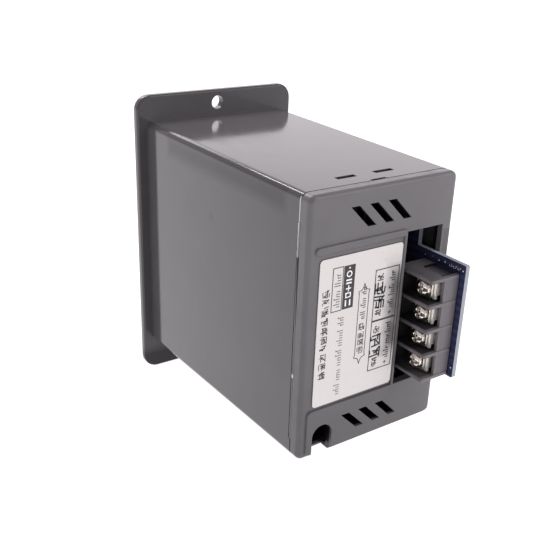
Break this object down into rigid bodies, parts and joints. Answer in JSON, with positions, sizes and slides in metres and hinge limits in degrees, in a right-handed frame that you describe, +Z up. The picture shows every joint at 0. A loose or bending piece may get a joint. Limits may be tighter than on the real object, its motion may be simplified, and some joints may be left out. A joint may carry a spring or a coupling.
{
  "type": "panel-mount dc motor speed controller",
  "caption": "Box-shaped controller for a cabinet door: front flange with display, speed knob and rocker switch, snap-in back cover with a barrier terminal strip.",
  "frame": {"origin": "centre of the flange in the plane of its back face, which rests on the panel", "axes": "+Y points back into the cabinet, away from the display and knob; +Z is up; +X is to the right as seen from the front"},
  "size_m": [0.0666, 0.1315, 0.11],
  "materials": {
    "housing_plastic": "dark grey moulded ABS, glossy sides, finer texture at the back",
    "overlay_film": "matt black printed film",
    "label_film": "satin white label stock",
    "display_window": "smoked red acrylic",
    "display_plastic": "grey display body",
    "knob_plastic": "matt black",
    "pointer_white": "white fill",
    "spun_aluminium": "spun",
    "switch_plastic": "satin black nylon",
    "blue_board": "blue solder mask over glass laminate",
    "block_plastic": "black moulded thermoset",
    "nickel_steel": "nickel plated",
    "tinned_brass": "tin plated",
    "extruded_aluminium": "as extruded",
    "moulded_package": "moulded epoxy",
    "can_sleeve": "shrink sleeve",
    "relay_case": "blue case",
    "connector_white": "natural nylon",
    "wire_red": "PVC sleeve",
    "wire_black": "PVC sleeve",
    "wire_yellow": "PVC sleeve"
  },
  "bodies": {
    "controller": {"housing": "housing_plastic", "rear_cover": "housing_plastic", "rating_label": "label_film", "front_overlay": "overlay_film", "display_lens": "display_window", "display_module": "display_plastic", "display_board": "blue_board", "display_controller": "moulded_package", "potentiometer": "extruded_aluminium", "pot_washer": "nickel_steel", "pot_nut": "nickel_steel", "switch_case": "switch_plastic", "switch_tab_1": "tinned_brass", "switch_tab_2": "tinned_brass", "switch_tab_3": "tinned_brass", "power_board": "blue_board", "board_screw_1": "nickel_steel", "board_screw_2": "nickel_steel", "board_screw_3": "nickel_steel", "terminal_block": "block_plastic", "terminal_plate_1": "tinned_brass", "terminal_plate_2": "tinned_brass", "terminal_plate_3": "tinned_brass", "terminal_plate_4": "tinned_brass", "heatsink": "extruded_aluminium", "transistor_1": "moulded_package", "transistor_2": "moulded_package", "transistor_3": "moulded_package", "capacitor_1": "can_sleeve", "capacitor_2": "can_sleeve", "relay_1": "relay_case", "relay_2": "relay_case", "lead_header": "connector_white", "switch_lead_1": "wire_red", "switch_lead_2": "wire_black", "switch_lead_3": "wire_yellow", "pot_lead_1": "wire_red", "pot_lead_2": "wire_black", "pot_lead_3": "wire_yellow"},
    "knob": {"speed_knob": "knob_plastic", "knob_cap": "spun_aluminium", "knob_pointer": "pointer_white", "pot_shaft": "extruded_aluminium"},
    "rocker": {"rocker": "switch_plastic"},
    "clamp_1": {"terminal_washer_1": "nickel_steel"},
    "screw_1": {"terminal_screw_1": "nickel_steel"},
    "clamp_2": {"terminal_washer_2": "nickel_steel"},
    "screw_2": {"terminal_screw_2": "nickel_steel"},
    "clamp_3": {"terminal_washer_3": "nickel_steel"},
    "screw_3": {"terminal_screw_3": "nickel_steel"},
    "clamp_4": {"terminal_washer_4": "nickel_steel"},
    "screw_4": {"terminal_screw_4": "nickel_steel"}
  },
  "joints": [
    {"name": "speed_knob_turn", "type": "hinge", "parent": "controller", "child": "knob", "pos_m": [0, 0, -0.0025], "axis": [0, 1, 0], "range_deg": [-150, 150]},
    {"name": "rocker_tilt", "type": "hinge", "parent": "controller", "child": "rocker", "pos_m": [0, -0.0016, -0.0295], "axis": [0, 0, 1], "range_deg": [-11, 11]},
    {"name": "terminal_1_lift", "type": "slide", "parent": "controller", "child": "clamp_1", "axis": [1, 0, 0], "range_m": [0, 0.0025]},
    {"name": "terminal_1_turn", "type": "hinge", "parent": "clamp_1", "child": "screw_1", "pos_m": [-0.0136, 0.1032, 0.01065], "axis": [1, 0, 0], "range_deg": [0, 1800]},
    {"name": "terminal_2_lift", "type": "slide", "parent": "controller", "child": "clamp_2", "axis": [1, 0, 0], "range_m": [0, 0.0025]},
    {"name": "terminal_2_turn", "type": "hinge", "parent": "clamp_2", "child": "screw_2", "pos_m": [-0.0136, 0.1032, 0.00215], "axis": [1, 0, 0], "range_deg": [0, 1800]},
    {"name": "terminal_3_lift", "type": "slide", "parent": "controller", "child": "clamp_3", "axis": [1, 0, 0], "range_m": [0, 0.0025]},
    {"name": "terminal_3_turn", "type": "hinge", "parent": "clamp_3", "child": "screw_3", "pos_m": [-0.0136, 0.1032, -0.00635], "axis": [1, 0, 0], "range_deg": [0, 1800]},
    {"name": "terminal_4_lift", "type": "slide", "parent": "controller", "child": "clamp_4", "axis": [1, 0, 0], "range_m": [0, 0.0025]},
    {"name": "terminal_4_turn", "type": "hinge", "parent": "clamp_4", "child": "screw_4", "pos_m": [-0.0136, 0.1032, -0.01485], "axis": [1, 0, 0], "range_deg": [0, 1800]}
  ],
  "couplings": [
    {"joint": "terminal_1_turn", "follows": "terminal_1_lift", "rad_per_m": 12566},
    {"joint": "terminal_2_turn", "follows": "terminal_2_lift", "rad_per_m": 12566},
    {"joint": "terminal_3_turn", "follows": "terminal_3_lift", "rad_per_m": 12566},
    {"joint": "terminal_4_turn", "follows": "terminal_4_lift", "rad_per_m": 12566}
  ]
}
